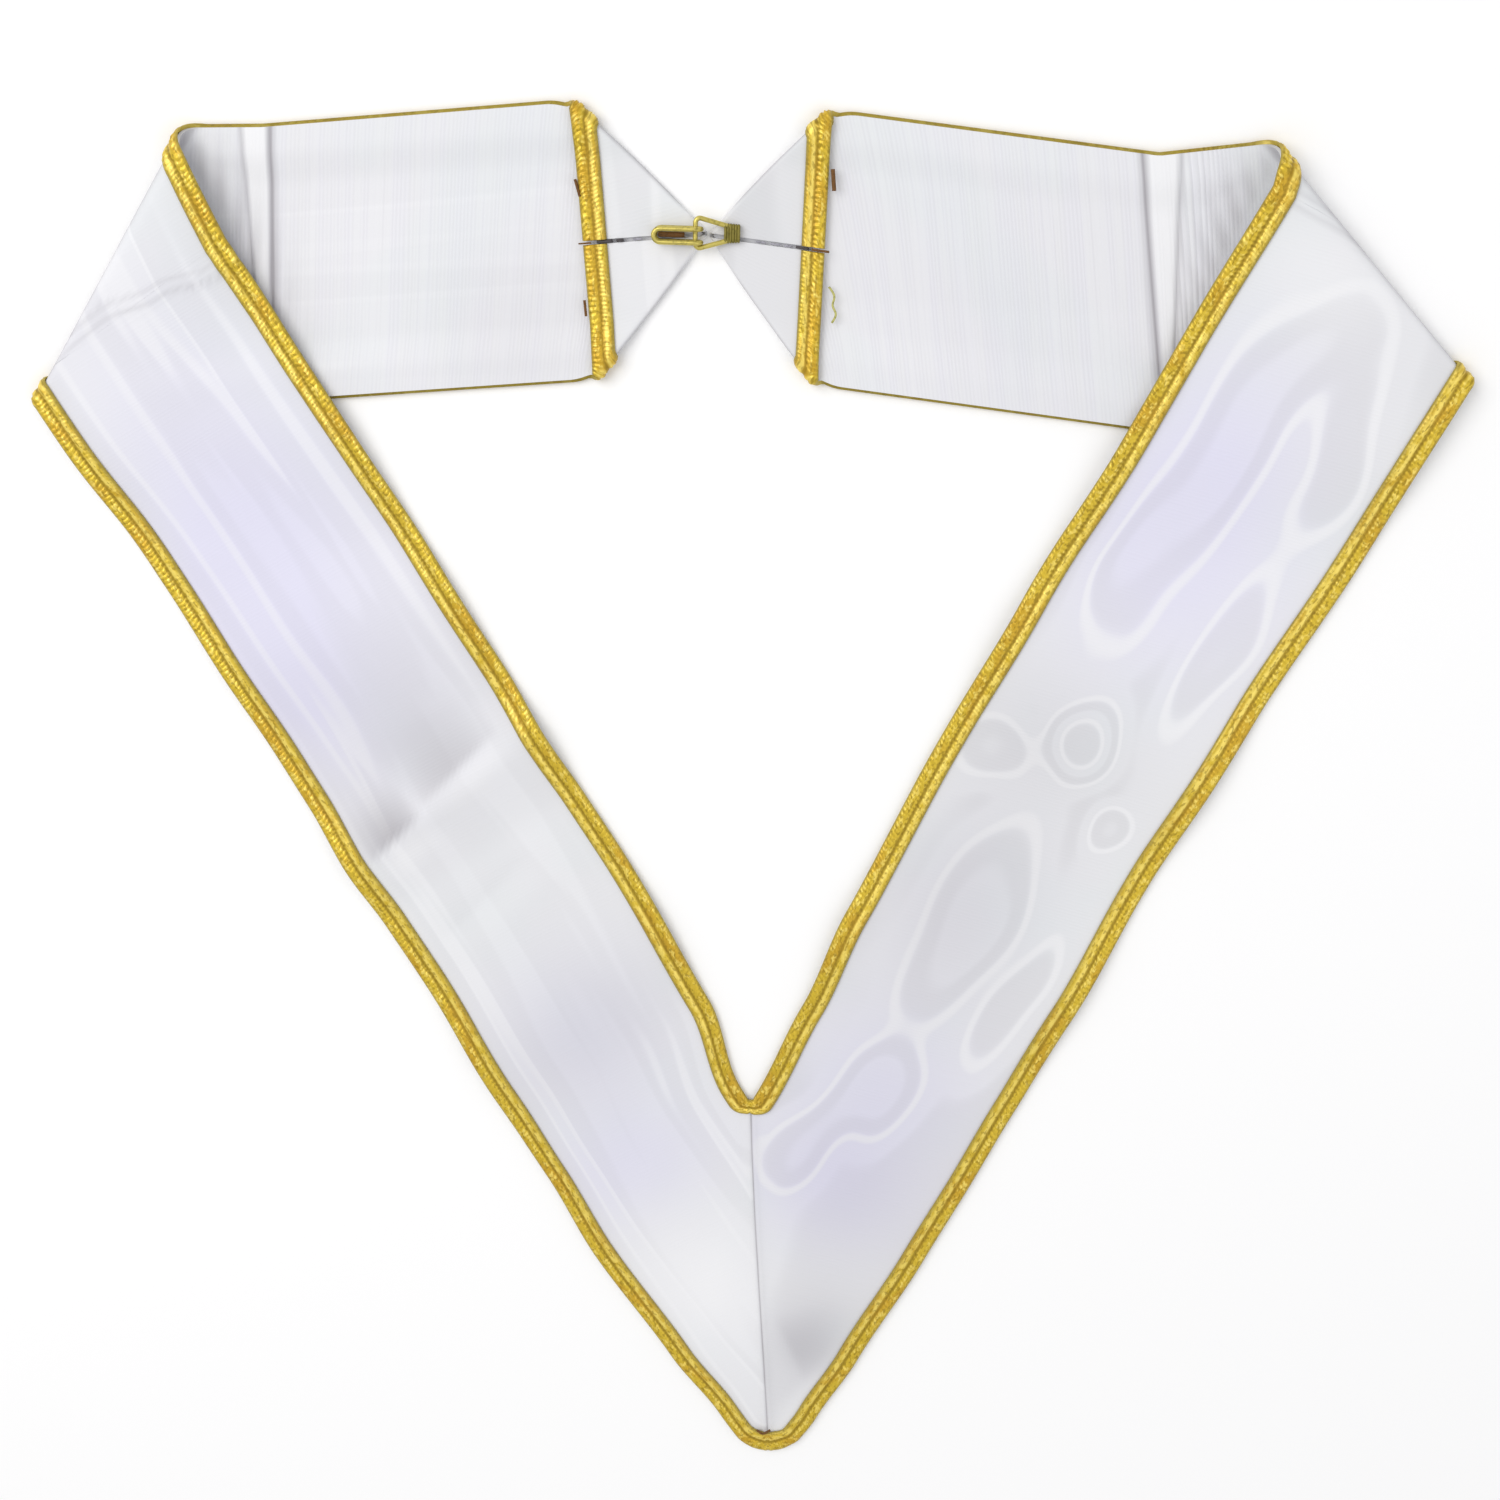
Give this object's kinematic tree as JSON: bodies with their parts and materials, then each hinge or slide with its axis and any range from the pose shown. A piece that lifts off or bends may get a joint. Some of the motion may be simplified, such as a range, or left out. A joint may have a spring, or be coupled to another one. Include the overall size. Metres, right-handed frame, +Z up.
{
  "type": "masonic collar",
  "caption": "V-shaped ribbon collar laid flat: wide white moire fronts edged with gold braid, folded over at the shoulders, with a neck band closed by a gold wire hook and eye.",
  "frame": {"origin": "under the middle of the collar's box, on the surface it lies on", "axes": "+Z up from that surface, -Y towards the point of the V, +X towards the side of the sewn eye's front, the wearer's left"},
  "size_m": [0.5372, 0.5758, 0.0154],
  "materials": {
    "silk": "white watered silk ribbon with fine cross ribs and a satin sheen",
    "gold_braid": "plaited gold metal thread, shiny on the ridges",
    "gold_wire": "polished gilt wire"
  },
  "bodies": {
    "root": {"front_ribbon_left": "silk", "front_ribbon_right": "silk", "neck_ribbon_left": "silk", "neck_ribbon_right": "silk", "outer_braid": "gold_braid", "inner_braid": "gold_braid", "clasp_hook": "gold_wire", "clasp_eye": "gold_wire"}
  },
  "joints": []
}
